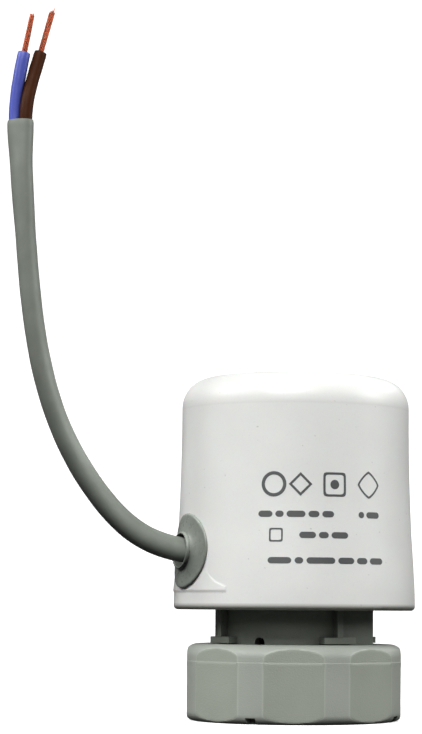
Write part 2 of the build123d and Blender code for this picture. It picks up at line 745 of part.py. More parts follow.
def core_piece(offset, crimp, tip_place, tip_lean):
    """One insulated core, from its crimp through the sheath to its stripped end.

    The round section is set to one side of the cable's centreline and swept along it, so
    that the core keeps to its bore. It runs straight for a little way outside the sheath.
    """
    lead_dir = crimp.z_dir * -1
    lead_turn = cable_out.get_signed_angle(lead_dir, Vector(0, 0, 1))
    inner_shift = (sheath_plane.y_dir * offset).rotate(Axis.Z, lead_turn)
    outer_shift = end_plane.y_dir * offset
    lead_end = cable_path @ 0 - cable_out * CORE_STRAIGHT
    tail_start = cable_path @ 1 + Vector(0, 0, CORE_STRAIGHT)
    tail_dir = cable_point(sin(radians(tip_lean)), cos(radians(tip_lean)))
    tip = cable_point(*tip_place) - outer_shift
    with BuildLine() as line:
        Spline(crimp.origin - inner_shift, lead_end, tangents=[lead_dir, cable_out])
        Line(lead_end, cable_path @ 0)
        add(cable_path)
        Line(cable_path @ 1, tail_start)
        Spline(tail_start, tip, tangents=[(0, 0, 1), tail_dir])
    with BuildSketch(sheath_plane) as section:
        with Locations((0, offset)):
            Circle(CORE_R)
    sweep(section.sketch, path=line.wires()[0])


def core_end(core, place):
    """The plane of a core's crimped end (place 0) or its stripped end (place -1)."""
    end_face = core.faces().filter_by(GeomType.PLANE).sort_by(Axis.Z)[place]
    return Plane(origin=end_face.center(), z_dir=end_face.normal_at())


with BuildPart() as blue_core:
    neutral_target = crimp_target(neutral_z, CABLE_ANGLE - CONTACT_SPREAD, -1)
    core_piece(-CORE_OFFSET, neutral_target, BLUE_TIP, BLUE_LEAN)
finish(blue_core.part, "blue_core")

with BuildPart() as brown_core:
    live_target = crimp_target(live_z, CABLE_ANGLE + CONTACT_SPREAD, 1)
    core_piece(CORE_OFFSET, live_target, BROWN_TIP, BROWN_LEAN)
finish(brown_core.part, "brown_core")


def strand_bundle(tip, length, splay):
    """Seven copper wires standing on a core's end, spread by splay degrees."""
    spots = [(0, 0)]
    spots += [place_of(STRAND_RING_R, 60 * index) for index in range(6)]
    for x_spot, y_spot in spots:
        start = tip.from_local_coords((x_spot, y_spot, 0))
        lean = tip.z_dir + (start - tip.origin) * (sin(radians(splay)) / STRAND_RING_R)
        with BuildSketch(Plane(origin=start, z_dir=lean)) as wire_face:
            Circle(STRAND_R)
        extrude(wire_face.sketch, amount=length)


with BuildPart() as blue_strands:
    strand_bundle(core_end(blue_core.part, -1), BLUE_STRAND_L, BLUE_SPLAY)
finish(blue_strands.part, "blue_strands")

with BuildPart() as brown_strands:
    strand_bundle(core_end(brown_core.part, -1), BROWN_STRAND_L, BROWN_SPLAY)
finish(brown_strands.part, "brown_strands")

# ---- Contacts ----------------------------------------------------------------------------


def contact_tab(height, angle, crimp_end):
    """A contact: a disc, a strip out through the tower and a crimp round the core's end."""
    barrel_start = crimp_end.origin + crimp_end.z_dir * CRIMP_GAP
    disc(CONTACT_R, height, height + CONTACT_T)
    with BuildSketch(Plane.XY.offset(height)) as strip:
        with PolarLocations(0, 1, start_angle=angle):
            Rectangle(
                CONTACT_REACH + CONTACT_TAIL, CONTACT_W, align=(Align.MIN, Align.CENTER)
            )
    extrude(strip.sketch, amount=CONTACT_T)
    with BuildSketch(Plane(origin=barrel_start, z_dir=crimp_end.z_dir)) as barrel:
        Circle(CRIMP_R)
    extrude(barrel.sketch, amount=CRIMP_L)
    with BuildSketch(Plane(origin=barrel_start, z_dir=crimp_end.z_dir)) as barrel_bore:
        Circle(CRIMP_R - CRIMP_WALL)
    extrude(barrel_bore.sketch, amount=CRIMP_L, mode=Mode.SUBTRACT)


with BuildPart() as neutral_contact:
    contact_tab(neutral_z, CABLE_ANGLE - CONTACT_SPREAD, core_end(blue_core.part, 0))
finish(neutral_contact.part, "neutral_contact")

with BuildPart() as live_contact:
    contact_tab(live_z, CABLE_ANGLE + CONTACT_SPREAD, core_end(brown_core.part, 0))
finish(live_contact.part, "live_contact")

# ---- Cable clamp -------------------------------------------------------------------------

with BuildPart() as cable_clamp:
    with BuildSketch(Plane.XY.offset(SADDLE_TOP)) as clamp_outline:
        with PolarLocations(CLAMP_REACH, 1, start_angle=CABLE_ANGLE):
            Rectangle(CLAMP_D, CLAMP_W)
    extrude(amount=CLAMP_TOP - SADDLE_TOP)
    with BuildSketch(trough_plane) as clamp_bore:
        Circle(trough_r)
    extrude(amount=trough_l, mode=Mode.SUBTRACT)
    rods(
        CLAMP_CLEAR_R, SADDLE_TOP, CLAMP_TOP, clamp_screw_places, mode=Mode.SUBTRACT
    )
finish(cable_clamp.part, "cable_clamp")

with BuildPart() as clamp_screws:
    rods(CLAMP_SCREW_R, CLAMP_SCREW_BOTTOM, CLAMP_TOP, clamp_screw_places)
    rods(CLAMP_HEAD_R, CLAMP_TOP, CLAMP_TOP + CLAMP_HEAD_H, clamp_screw_places)
finish(clamp_screws.part, "clamp_screws")
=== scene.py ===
import math
import random

import bmesh
import bpy
import numpy as np
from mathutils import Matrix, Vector
from mathutils.bvhtree import BVHTree


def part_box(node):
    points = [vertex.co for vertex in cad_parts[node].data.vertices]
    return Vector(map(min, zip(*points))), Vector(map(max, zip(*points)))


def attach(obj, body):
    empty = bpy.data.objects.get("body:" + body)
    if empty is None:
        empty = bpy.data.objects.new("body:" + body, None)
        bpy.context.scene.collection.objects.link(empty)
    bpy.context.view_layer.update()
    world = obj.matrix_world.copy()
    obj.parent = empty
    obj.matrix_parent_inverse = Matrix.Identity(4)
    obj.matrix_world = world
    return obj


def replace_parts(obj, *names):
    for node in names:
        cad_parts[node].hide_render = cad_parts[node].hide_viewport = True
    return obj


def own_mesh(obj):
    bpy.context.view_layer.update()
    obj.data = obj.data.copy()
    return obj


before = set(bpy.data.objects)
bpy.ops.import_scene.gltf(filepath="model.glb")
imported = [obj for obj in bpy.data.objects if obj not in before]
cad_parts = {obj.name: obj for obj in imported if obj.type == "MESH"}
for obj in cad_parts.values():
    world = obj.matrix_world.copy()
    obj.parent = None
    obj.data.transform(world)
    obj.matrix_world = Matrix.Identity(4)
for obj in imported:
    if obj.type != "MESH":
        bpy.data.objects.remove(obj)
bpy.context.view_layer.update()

# Everything below is in metres, in the model's own frame: +Z up the valve stem, Z = 0 at
# the union nut's lower face. MM turns millimetres into metres.
MM = 0.001
TURN = 2 * math.pi

# Where the cable leaves the hood: the direction of its vertical plane, seen from above
CABLE_ANGLE = math.radians(-153.6)
OUT = Vector((math.cos(CABLE_ANGLE), math.sin(CABLE_ANGLE), 0))
SIDE = Vector((-OUT.y, OUT.x, 0))
UP = Vector((0, 0, 1))


# Sizes of the marks in the materials
FLOW_SIZE = 9 * MM
SPECK_SIZE = 0.35 * MM
CLOUD_SIZE = 5 * MM
DRAG_SIZE = 0.18 * MM
DUST_SIZE = 1.1 * MM
STREAK_SIZE = 0.9 * MM
TARNISH_SIZE = 3 * MM
SOFT_SAMPLES = 6
HOLLOW_SAMPLES = 4


# ---- Shader helpers ----------------------------------------------------------------------


class Shader:
    """A node material with a Principled surface, built in a few calls."""

    def __init__(self, name):
        self.material = bpy.data.materials.new(name)
        self.material.use_nodes = True
        self.tree = self.material.node_tree
        self.surface = self.tree.nodes["Principled BSDF"]
        self.coords = self.tree.nodes.new("ShaderNodeTexCoord").outputs["Object"]

    def node(self, kind, **inputs):
        """Add a node and set or link its inputs by name."""
        made = self.tree.nodes.new(kind)
        for name, value in inputs.items():
            socket = made.inputs[name.replace("_", " ")]
            self.feed(socket, value)
        return made

    def feed(self, socket, value):
        """Link a socket into an input, or set its value."""
        if isinstance(value, bpy.types.NodeSocket):
            self.tree.links.new(value, socket)
        else:
            socket.default_value = value

    def noise(self, size, detail=3.0, rough=0.5, coords=None):
        """Noise whose lumps are about size metres across."""
        made = self.node(
            "ShaderNodeTexNoise",
            Vector=coords or self.coords,
            Scale=1 / size,
            Detail=detail,
            Roughness=rough,
        )
        return made.outputs["Fac"]

    def spread(self, value, low, high, start=0.35, end=0.65):
        """Map a 0 to 1 value, clamped between start and end, on to low to high."""
        made = self.node(
            "ShaderNodeMapRange",
            Value=value,
            From_Min=start,
            From_Max=end,
            To_Min=low,
            To_Max=high,
        )
        return made.outputs["Result"]

    def mix(self, factor, first, second, blend="MIX"):
        """Mix two colours."""
        made = self.tree.nodes.new("ShaderNodeMix")
        made.data_type = "RGBA"
        made.blend_type = blend
        self.feed(made.inputs["Factor"], factor)
        self.feed(made.inputs[6], first)
        self.feed(made.inputs[7], second)
        return made.outputs[2]

    def math(self, operation, first, second=0.0):
        """One arithmetic node."""
        made = self.tree.nodes.new("ShaderNodeMath")
        made.operation = operation
        self.feed(made.inputs[0], first)
        self.feed(made.inputs[1], second)
        return made.outputs[0]

    def set(self, **inputs):
        """Set or link inputs of the Principled surface."""
        for name, value in inputs.items():
            self.feed(self.surface.inputs[name.replace("_", " ")], value)

    def relief(self, height, depth, edge=0.0):
        """Use a height as bump, over edges softened by a rounding radius."""
        bump = self.node("ShaderNodeBump", Height=height, Distance=depth)
        if edge:
            soft = self.node("ShaderNodeBevel", Radius=edge)
            soft.samples = SOFT_SAMPLES
            self.tree.links.new(soft.outputs["Normal"], bump.inputs["Normal"])
        self.set(Normal=bump.outputs["Normal"])


def rgb(red, green, blue):
    """A scene-linear colour from 0 to 255 display values."""
    linear = []
    for value in (red, green, blue):
        share = value / 255
        linear.append(
            share / 12.92 if share <= 0.04045 else ((share + 0.055) / 1.055) ** 2.4
        )
    return (*linear, 1.0)


def scaled(colour, factor):
    """The same colour, lighter or darker."""
    return tuple(min(1.0, part * factor) for part in colour[:3]) + (1.0,)


def moulded_plastic(
    name,
    colour,
    rough,
    grain,
    depth,
    edge=0.12 * MM,
    blotch=0.03,
    hollow=2.0 * MM,
    painted_shade=0.25,
):
    """Moulded plastic: spark-eroded grain, faint flow blotches, painted shade in its
    hollows.
    """
    s = Shader(name)
    flow = s.noise(FLOW_SIZE, 4.0)
    fine = s.noise(grain, 2.0, 0.6)
    speck = s.noise(SPECK_SIZE, 2.0)
    body = s.mix(
        s.spread(flow, 0.0, 1.0), scaled(colour, 1 - blotch), scaled(colour, 1 + blotch)
    )
    body = s.mix(s.spread(speck, 0.0, 0.10, 0.55, 0.75), body, scaled(colour, 0.7))
    # Painted shade: ambient occlusion darkens the hollows and creases towards a dark copy
    # of the colour
    occlusion = s.node("ShaderNodeAmbientOcclusion", Distance=hollow)
    occlusion.samples = HOLLOW_SAMPLES
    crevice = s.spread(occlusion.outputs["AO"], painted_shade, 0.0, 0.2, 0.8)
    body = s.mix(crevice, body, scaled(colour, 0.3))
    s.set(
        Base_Color=body,
        Roughness=s.spread(flow, rough - 0.05, rough + 0.07),
        Specular_IOR_Level=0.45,
    )
    s.relief(fine, depth, edge)
    return s


def rubber(name, colour, rough, sheen=0.05, under=1.0, top=1.0, shine=0.35):
    """Soft PVC or rubber: satin, with drag marks and dust, painted light on faces that look
    up and painted shade on faces that look down and in its crevices.
    """
    s = Shader(name)
    cloud = s.noise(CLOUD_SIZE, 4.0)
    fine = s.noise(DRAG_SIZE, 3.0, 0.65)
    dust = s.noise(DUST_SIZE, 5.0, 0.7)
    body = s.mix(s.spread(cloud, 0.0, 1.0), scaled(colour, 0.92), scaled(colour, 1.08))
    body = s.mix(s.spread(dust, 0.0, 0.16, 0.56, 0.72), body, scaled(colour, 1.5))
    # Painted light and shade: the two factors darken the faces that look down and lighten
    # the faces that look up
    normal = s.node("ShaderNodeNewGeometry").outputs["Normal"]
    facing_up = s.node("ShaderNodeSeparateXYZ", Vector=normal).outputs["Z"]
    body = s.mix(1.0, body, s.spread(facing_up, under, top, -0.6, 0.5), "MULTIPLY")
    # Painted shade: crevices and contact lines within this reach go nearly black
    crevice_reach = 0.8 * MM
    occlusion = s.node("ShaderNodeAmbientOcclusion", Distance=crevice_reach)
    occlusion.samples = HOLLOW_SAMPLES
    crevice = s.spread(occlusion.outputs["AO"], 0.8, 0.0, 0.25, 0.75)
    body = s.mix(crevice, body, scaled(colour, 0.1))
    s.set(
        Base_Color=body,
        Roughness=s.spread(dust, rough - 0.06, rough + 0.12),
        Sheen_Weight=sheen,
        Specular_IOR_Level=shine,
        Sheen_Roughness=0.5,
    )
    relief_depth, edge = 0.02 * MM, 0.1 * MM
    s.relief(s.math("ADD", fine, s.math("MULTIPLY", dust, 0.6)), relief_depth, edge)
    return s


def metal(name, colour, rough, brush=(1, 1, 18), edge=0.05 * MM):
    """Machined or drawn metal: streaks along one direction, tarnish and small scratches."""
    s = Shader(name)
    stretched = s.node("ShaderNodeMapping", Vector=s.coords, Scale=brush)
    streak = s.noise(STREAK_SIZE, 5.0, 0.7, stretched.outputs["Vector"])
    tarnish = s.noise(TARNISH_SIZE, 4.0)
    body = s.mix(s.spread(tarnish, 0.0, 1.0), scaled(colour, 0.78), scaled(colour, 1.1))
    s.set(
        Base_Color=body,
        Metallic=1.0,
        Roughness=s.spread(streak, rough - 0.08, rough + 0.14),
    )
    streak_depth = 0.01 * MM
    s.relief(streak, streak_depth, edge)
    return s


# ---- Mesh helpers ------------------------------------------------------------------------


def new_piece(name, verts, faces, shader, body, smooth=True, crease=40):
    """Make a mesh piece, shade it, and let it ride on its body."""
    mesh = bpy.data.meshes.new(name)
    mesh.from_pydata([tuple(v) for v in verts], [], faces)
    mesh.validate()
    bm = bmesh.new()
    bm.from_mesh(mesh)
    bmesh.ops.remove_doubles(bm, verts=bm.verts, dist=WELD_GAP)
    bmesh.ops.recalc_face_normals(bm, faces=bm.faces)
    bm.to_mesh(mesh)
    bm.free()
    made = bpy.data.objects.new(name, mesh)
    bpy.context.scene.collection.objects.link(made)
    mesh.materials.append(shader.material)
    if smooth:
        mesh.shade_smooth()
        mesh.set_sharp_from_angle(angle=math.radians(crease))
    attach(made, body)
    return made


def grid_faces(rows, columns, wrap_rows=False, wrap_columns=True, start=0):
    """Quads of a grid of rows by columns vertices."""
    faces = []
    last_row = rows if wrap_rows else rows - 1
    last_column = columns if wrap_columns else columns - 1
    for row in range(last_row):
        below = (row + 1) % rows
        for column in range(last_column):
            beside = (column + 1) % columns
            faces.append(
                (
                    start + row * columns + column,
                    start + row * columns + beside,
                    start + below * columns + beside,
                    start + below * columns + column,
                )
            )
    return faces


SPLINE_SAMPLES = 40
WELD_GAP = 1e-7


def smooth_path(points, first_dir, last_dir, steps):
    """A curve through points that starts and ends in the given directions.

    A cubic spline over chord length, returned as steps + 1 evenly spaced points.
    """
    knots = np.array([tuple(p) for p in points], float)
    gaps = np.linalg.norm(np.diff(knots, axis=0), axis=1)
    count = len(knots)
    matrix = np.zeros((count, count))
    wanted = np.zeros((count, 3))
    matrix[0, 0] = matrix[-1, -1] = 1
    wanted[0] = Vector(first_dir).normalized()
    wanted[-1] = Vector(last_dir).normalized()
    for i in range(1, count - 1):
        before, after = gaps[i - 1], gaps[i]
        matrix[i, i - 1] = after
        matrix[i, i] = 2 * (before + after)
        matrix[i, i + 1] = before
        wanted[i] = 3 * (
            after * (knots[i] - knots[i - 1]) / before
            + before * (knots[i + 1] - knots[i]) / after
        )
    slopes = np.linalg.solve(matrix, wanted)
    dense = []
    for i in range(count - 1):
        for t in np.linspace(0, 1, SPLINE_SAMPLES, endpoint=False):
            a = 2 * t**3 - 3 * t**2 + 1
            b = (t**3 - 2 * t**2 + t) * gaps[i]
            c = -2 * t**3 + 3 * t**2
            d = (t**3 - t**2) * gaps[i]
            dense.append(
                a * knots[i] + b * slopes[i] + c * knots[i + 1] + d * slopes[i + 1]
            )
    dense.append(knots[-1])
    dense = np.array(dense)
    lengths = np.concatenate(
        [[0], np.cumsum(np.linalg.norm(np.diff(dense, axis=0), axis=1))]
    )
    wanted_at = np.linspace(0, lengths[-1], steps + 1)
    return [
        Vector([np.interp(at, lengths, dense[:, axis]) for axis in range(3)])
        for at in wanted_at
    ]


def path_frames(path, first_normal):
    """(point, tangent, normal) along a path, with the normal carried without twist."""
    frames = []
    normal = Vector(first_normal).normalized()
    for i, point in enumerate(path):
        ahead = path[min(i + 1, len(path) - 1)]
        behind = path[max(i - 1, 0)]
        tangent = (ahead - behind).normalized()
        normal = (normal - tangent * normal.dot(tangent)).normalized()
        frames.append((point, tangent, normal.copy()))
    return frames


def tube(path, first_normal, section, sides):
    """Verts and faces of a closed tube.

    section(share, turn) gives the (along normal, along binormal) place of the skin, for a
    share 0 to 1 of the way along and a turn 0 to 1 round the section.
    """
    verts = []
    frames = path_frames(path, first_normal)
    last = len(frames) - 1
    for i, (point, tangent, normal) in enumerate(frames):
        binormal = tangent.cross(normal)
        for j in range(sides):
            across, beside = section(i / last, j / sides)
            verts.append(point + normal * across + binormal * beside)
    faces = grid_faces(len(frames), sides)
    first_cap = tuple(range(sides - 1, -1, -1))
    last_cap = tuple(last * sides + j for j in range(sides))
    return verts, faces + [first_cap, last_cap]


def step_between(low, high, value):
    """0 below low, 1 above high, and smooth between them."""
    share = min(1.0, max(0.0, (value - low) / (high - low)))
    return share * share * (3 - 2 * share)


# ---- Materials ---------------------------------------------------------------------------

NUT_SIDES = 8
HOOD_WHITE = rgb(226, 227, 224)
BODY_GREY = rgb(134, 140, 130)
NUT_GREY = rgb(155, 160, 151)
CABLE_GREY = rgb(128, 134, 125)
GROMMET_GREY = rgb(134, 140, 132)
CORE_BLUE = rgb(74, 84, 170)
CORE_BROWN = rgb(60, 29, 8)
COPPER = rgb(150, 78, 56)
# Colour of the painted shade along the bottom of the hood's rim
RIM_SHADE = rgb(98, 97, 86)
SPECK_DARK = (0.1, 0.1, 0.09, 1.0)


def nut_plastic():
    """The nut's plastic: matt, darker flats, with a painted highlight in a thin band along
    their edges.
    """
    s = moulded_plastic(
        "nut_fine_grain", NUT_GREY, 0.42, 0.24 * MM, 0.05 * MM, edge=0.1 * MM
    )
    place = s.node("ShaderNodeSeparateXYZ", Vector=s.coords).outputs
    turn = s.math("ARCTAN2", place["Y"], place["X"])
    sector = s.math("ADD", turn, math.pi / NUT_SIDES)
    sector = s.math("FLOORED_MODULO", sector, TURN / NUT_SIDES)
    off_flat = s.math("SUBTRACT", sector, math.pi / NUT_SIDES)
    radius = s.math(
        "SQRT",
        s.math(
            "ADD",
            s.math("MULTIPLY", place["X"], place["X"]),
            s.math("MULTIPLY", place["Y"], place["Y"]),
        ),
    )
    reach = s.math("MULTIPLY", radius, s.math("COSINE", off_flat))
    flat_r = (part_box("union_nut")[1].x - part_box("union_nut")[0].x) / 2
    gap = s.math("ABSOLUTE", s.math("SUBTRACT", reach, flat_r))
    # Painted highlight: a thin light band just beside each flat's edge
    flat_gap, highlight_gap = 0.05 * MM, 0.16 * MM
    on_flat = s.math("LESS_THAN", gap, flat_gap)
    beside = s.spread(gap, 1.0, 0.0, flat_gap, highlight_gap)
    edge_highlight = s.math("MULTIPLY", beside, s.math("SUBTRACT", 1.0, on_flat))
    ridge_tint, flat_tint = (1.04, 1.04, 1.05, 1.0), (0.97, 0.98, 0.95, 1.0)
    edge_highlight_tint = (1.22, 1.22, 1.22, 1.0)
    tint = s.mix(on_flat, ridge_tint, flat_tint)
    tint = s.mix(edge_highlight, tint, edge_highlight_tint)
    body = s.surface.inputs["Base Color"].links[0].from_socket
    s.set(Base_Color=s.mix(1.0, body, tint, "MULTIPLY"))
    return s


def hood_plastic():
    """The hood's plastic: painted shade along the bottom of the rim, a faint witness line
    and a few dark specks.
    """
    # The hood's own hollows get only a little painted shade
    s = moulded_plastic(
        "hood_satin_white",
        HOOD_WHITE,
        0.36,
        0.22 * MM,
        0.008 * MM,
        edge=0.45 * MM,
        blotch=0.012,
        painted_shade=0.1,
    )
    height = s.node("ShaderNodeSeparateXYZ", Vector=s.coords).outputs["Z"]
    rim_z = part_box("hood")[0].z
    # Painted shade: the colour darkens towards the bottom of the rim, where its edge rounds
    # under
    painted_shade = s.spread(height, 0.85, 0.0, rim_z + 0.4 * MM, rim_z + 1.3 * MM)
    witness_z = 58.6 * MM
    off_line = s.math("ABSOLUTE", s.math("SUBTRACT", height, witness_z))
    line = s.spread(off_line, 0.05, 0.0, 0.05 * MM, 0.3 * MM)
    dark_speck_size = 0.9 * MM
    specks = s.spread(s.noise(dark_speck_size, 1.0), 0.0, 0.3, 0.76, 0.8)
    body = s.surface.inputs["Base Color"].links[0].from_socket
    body = s.mix(s.math("MAXIMUM", line, specks), body, SPECK_DARK)
    s.set(Base_Color=s.mix(painted_shade, body, RIM_SHADE))
    return s


hood_look = hood_plastic()
hood_look.set(Subsurface_Weight=0.08, Subsurface_Scale=1.5 * MM)
nut_look = nut_plastic()
# Painted shade: a wide reach and a strong amount darken the neck and ribs under the hood's
# overhang
base_look = moulded_plastic(
    "base_satin_grey", BODY_GREY, 0.42, 0.2 * MM, 0.014 * MM, hollow=9 * MM, painted_shade=0.95
)
carrier_look = moulded_plastic(
    "carrier_dark", rgb(74, 76, 78), 0.5, 0.25 * MM, 0.02 * MM
)
# Painted light and shade: the grommet and the sheath are darker on faces that look down and
# paler on faces that look up
grommet_look = rubber("grommet_satin", GROMMET_GREY, 0.28, under=0.1, top=1.4)
sheath_look = rubber("cable_sheath_pvc", CABLE_GREY, 0.46, under=0.35, top=1.2)
seal_look = rubber("seal_black", rgb(38, 38, 38), 0.6)
blue_look = rubber("core_blue_pvc", CORE_BLUE, 0.34, sheen=0.0)
brown_look = rubber("core_brown_pvc", CORE_BROWN, 0.5, sheen=0.0, shine=0.08)
copper_look = metal("copper_strand", COPPER, 0.2)
brass_look = metal("turned_brass", rgb(206, 170, 104), 0.28, (14, 14, 1))
contact_look = metal("tinned_contact", rgb(196, 182, 150), 0.32)
steel_look = metal("ground_steel", rgb(188, 188, 186), 0.26, (1, 1, 22))
spring_look = metal("spring_wire", rgb(150, 150, 148), 0.34)
zinc_look = metal("zinc_screw", rgb(190, 190, 192), 0.36, (6, 6, 6))
ceramic_look = moulded_plastic(
    "heater_ceramic", rgb(172, 164, 156), 0.55, 0.1 * MM, 0.01 * MM
)
mark_look = moulded_plastic("mark_ink", rgb(84, 86, 86), 0.5, 0.3 * MM, 0.004 * MM, 0)

CAD_LOOKS = {
    "hood": hood_look,
    "base_body": base_look,
    "plunger": base_look,
    "element_carrier": carrier_look,
    "lift_cage": carrier_look,
    "cable_clamp": carrier_look,
    "hood_seal": seal_look,
    "plunger_seal": seal_look,
    "hood_screws": zinc_look,
    "carrier_screws": zinc_look,
    "clamp_screws": zinc_look,
    "wax_element": brass_look,
    "element_guide": brass_look,
    "element_piston": steel_look,
    "ptc_heater": ceramic_look,
    "neutral_contact": contact_look,
    "live_contact": contact_look,
    "spring_seat": steel_look,
}
for node_name, look in CAD_LOOKS.items():
    node_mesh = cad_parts[node_name].data
    node_mesh.materials.clear()
    node_mesh.materials.append(look.material)

# ---- Union nut ---------------------------------------------------------------------------

NUT_COLUMNS = 384
NOTCHES = 4
CORNER_STAND = 0.7 * MM
FLAT_BLEND = 0.07 * MM
THREAD_PITCH = 1.5 * MM
THREAD_DEPTH = 0.8 * MM
THREAD_ROWS = 96
CREST_SHARE = 0.2
FLANK_SHARE = 0.7
NUT_CREASE = 32


def soft_min(first, second, blend):
    """The smaller of two values, rounded off where they are nearly equal."""
    near = max(0.0, blend - abs(first - second)) / blend
    return min(first, second) - near * near * blend / 4


def nut_outline():
    """(radius, height) points of the nut's turned skin, from the lip up and round."""
    low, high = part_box("union_nut")
    top = high.z
    full_r = (high.x - low.x) / 2 + CORNER_STAND
    top_round, low_round = 2.4 * MM, 1.8 * MM
    low_steps, top_steps = 10, 12
    points = []
    for i in range(low_steps + 1):
        turn = math.pi / 2 * i / low_steps
        points.append(
            (
                full_r - low_round + low_round * math.sin(turn),
                low.z + low_round - low_round * math.cos(turn),
            )
        )
    seam = 0.78 * top
    lip = 0.03 * MM
    points += [(full_r, 0.25 * top), (full_r, 0.5 * top), (full_r, 0.7 * top)]
    points += [
        (full_r + lip, seam - 0.5 * MM),
        (full_r + lip, seam - 0.06 * MM),
        (full_r - lip, seam),
        (full_r - lip, seam + 0.10 * MM),
    ]
    for i in range(top_steps + 1):
        turn = math.pi / 2 * i / top_steps
        points.append(
            (
                full_r - top_round + (top_round - lip) * math.cos(turn),
                top - top_round + top_round * math.sin(turn),
            )
        )
    return points, full_r


def make_nut():
    """The nut's skin: turned, cut by eight flats with soft edges, threaded inside."""
    low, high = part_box("union_nut")
    top = high.z
    flat_r = (high.x - low.x) / 2
    minor_r, chamber_r, lip_r = 14.188 * MM, 16.1 * MM, 15.25 * MM
    thread_top = 9.0 * MM
    chamber_low, chamber_top = 9.4 * MM, 13.0 * MM
    lip_chamfer = 0.3 * MM
    outline, full_r = nut_outline()
    rows = []
    for radius, height in outline:
        row = []
        for j in range(NUT_COLUMNS):
            turn = TURN * j / NUT_COLUMNS
            off_flat = (turn + math.pi / NUT_SIDES) % (TURN / NUT_SIDES)
            off_flat -= math.pi / NUT_SIDES
            flat = flat_r + max(0.0, radius - full_r)
            row.append((soft_min(radius, flat / math.cos(off_flat), FLAT_BLEND), height))
        rows.append(row)
    inner = [
        (full_r - 2.7 * MM, top),
        (lip_r + lip_chamfer, top),
        (lip_r, top - lip_chamfer),
        (lip_r, chamber_top),
        (chamber_r, chamber_top),
        (chamber_r, chamber_low),
        (minor_r + 0.2 * MM, thread_top + 0.1 * MM),
    ]
    for radius, height in inner:
        rows.append([(radius, height)] * NUT_COLUMNS)
    # The thread runs out softly near both of its ends
    lead, full_from, full_to = 0.4 * MM, 1.2 * MM, 8.2 * MM
    for i in range(THREAD_ROWS + 1):
        height = thread_top - (thread_top - lead) * i / THREAD_ROWS
        fade = step_between(lead, full_from, height)
        fade *= 1 - step_between(full_to, thread_top, height)
        row = []
        for j in range(NUT_COLUMNS):
            phase = (height / THREAD_PITCH - j / NUT_COLUMNS) % 1
            ramp = 1 - abs(2 * phase - 1)
            depth = min(1.0, max(0.0, (ramp - CREST_SHARE) / FLANK_SHARE))
            row.append((minor_r + THREAD_DEPTH * depth * fade, height))
        rows.append(row)
    rows.append([(minor_r + lead, low.z)] * NUT_COLUMNS)
    verts = []
    for row in rows:
        for j, (radius, height) in enumerate(row):
            turn = TURN * j / NUT_COLUMNS
            verts.append((radius * math.cos(turn), radius * math.sin(turn), height))
    faces = grid_faces(len(rows), NUT_COLUMNS, wrap_rows=True)
    nut = new_piece(
        "hand_nut", verts, faces, nut_look, "nut", crease=NUT_CREASE
    )
    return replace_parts(nut, "union_nut")


def ring_sector(radius_in, radius_out, start, end, low, high, steps=14):
    """Verts and faces of a closed sector of a ring."""
    verts = []
    for i in range(steps + 1):
        turn = start + (end - start) * i / steps
        for radius, height in (
            (radius_in, low),
            (radius_out, low),
            (radius_out, high),
            (radius_in, high),
        ):
            verts.append((radius * math.cos(turn), radius * math.sin(turn), height))
    faces = grid_faces(steps + 1, 4)
    faces += [(3, 2, 1, 0), tuple(4 * steps + k for k in range(4))]
    return verts, faces


def cut_away(piece, cutters):
    """Subtract closed meshes, given as (verts, faces) pairs, from a piece."""
    verts, faces = [], []
    for cutter_verts, cutter_faces in cutters:
        start = len(verts)
        verts += [tuple(v) for v in cutter_verts]
        faces += [tuple(start + index for index in face) for face in cutter_faces]
    mesh = bpy.data.meshes.new("cutter")
    mesh.from_pydata(verts, [], faces)
    bm = bmesh.new()
    bm.from_mesh(mesh)
    bmesh.ops.recalc_face_normals(bm, faces=bm.faces)
    bm.to_mesh(mesh)
    bm.free()
    cutter = bpy.data.objects.new("cutter", mesh)
    bpy.context.scene.collection.objects.link(cutter)
    cut = piece.modifiers.new("cut", "BOOLEAN")
    cut.operation = "DIFFERENCE"
    cut.solver = "MANIFOLD"
    cut.object = cutter
    graph = bpy.context.evaluated_depsgraph_get()
    result = bpy.data.meshes.new_from_object(piece.evaluated_get(graph))
    piece.modifiers.clear()
    piece.data = result
    result.shade_smooth()
    result.set_sharp_from_angle(angle=math.radians(NUT_CREASE))
    bpy.data.objects.remove(cutter)


def hollow_nut(nut):
    """Open the eight moulding pockets under the nut and its four edge notches."""
    cutters = []
    web = math.radians(2.0)
    pocket_in, pocket_out, pocket_top = 17.0 * MM, 18.4 * MM, 9.0 * MM
    for k in range(NUT_SIDES):
        start = TURN * k / NUT_SIDES + web
        end = TURN * (k + 1) / NUT_SIDES - web
        cutters.append(
            ring_sector(pocket_in, pocket_out, start, end, -1 * MM, pocket_top)
        )
    half_notch = math.atan(0.95 / 20)
    notch_in, notch_out, notch_top = 17.7 * MM, 22 * MM, 1.2 * MM
    for k in range(NOTCHES):
        middle = TURN * (k / NOTCHES) - math.pi / NUT_SIDES
        cutters.append(
            ring_sector(
                notch_in,
                notch_out,
                middle - half_notch,
                middle + half_notch,
                -1.3 * MM,
                notch_top,
                steps=2,
            )
        )
    cut_away(nut, cutters)


hand_nut = make_nut()
hollow_nut(hand_nut)

# ---- Cable -------------------------------------------------------------------------------

SHEATH_LONG = 5.2 * MM
SHEATH_SIDES = 48
CORE_SIDES = 28
LEAD_STEPS = 16
TAIL_STEPS = 26
SHEATH_SHORT = 3.9 * MM
CORE_R = 1.15 * MM
CORE_OFFSET = 1.2 * MM
CABLE_STEPS = 170
# The turn of the oval in degrees, at shares of the cable's length
TWIST = [(0.0, -145), (0.25, -142), (0.55, -120), (0.75, -112), (0.9, -88), (1.0, -57)]


def in_plane(reach, height, side=0.0):
    """A point in the cable's vertical plane, with reach, height and side in mm."""
    return (OUT * reach + UP * height + SIDE * side) * MM


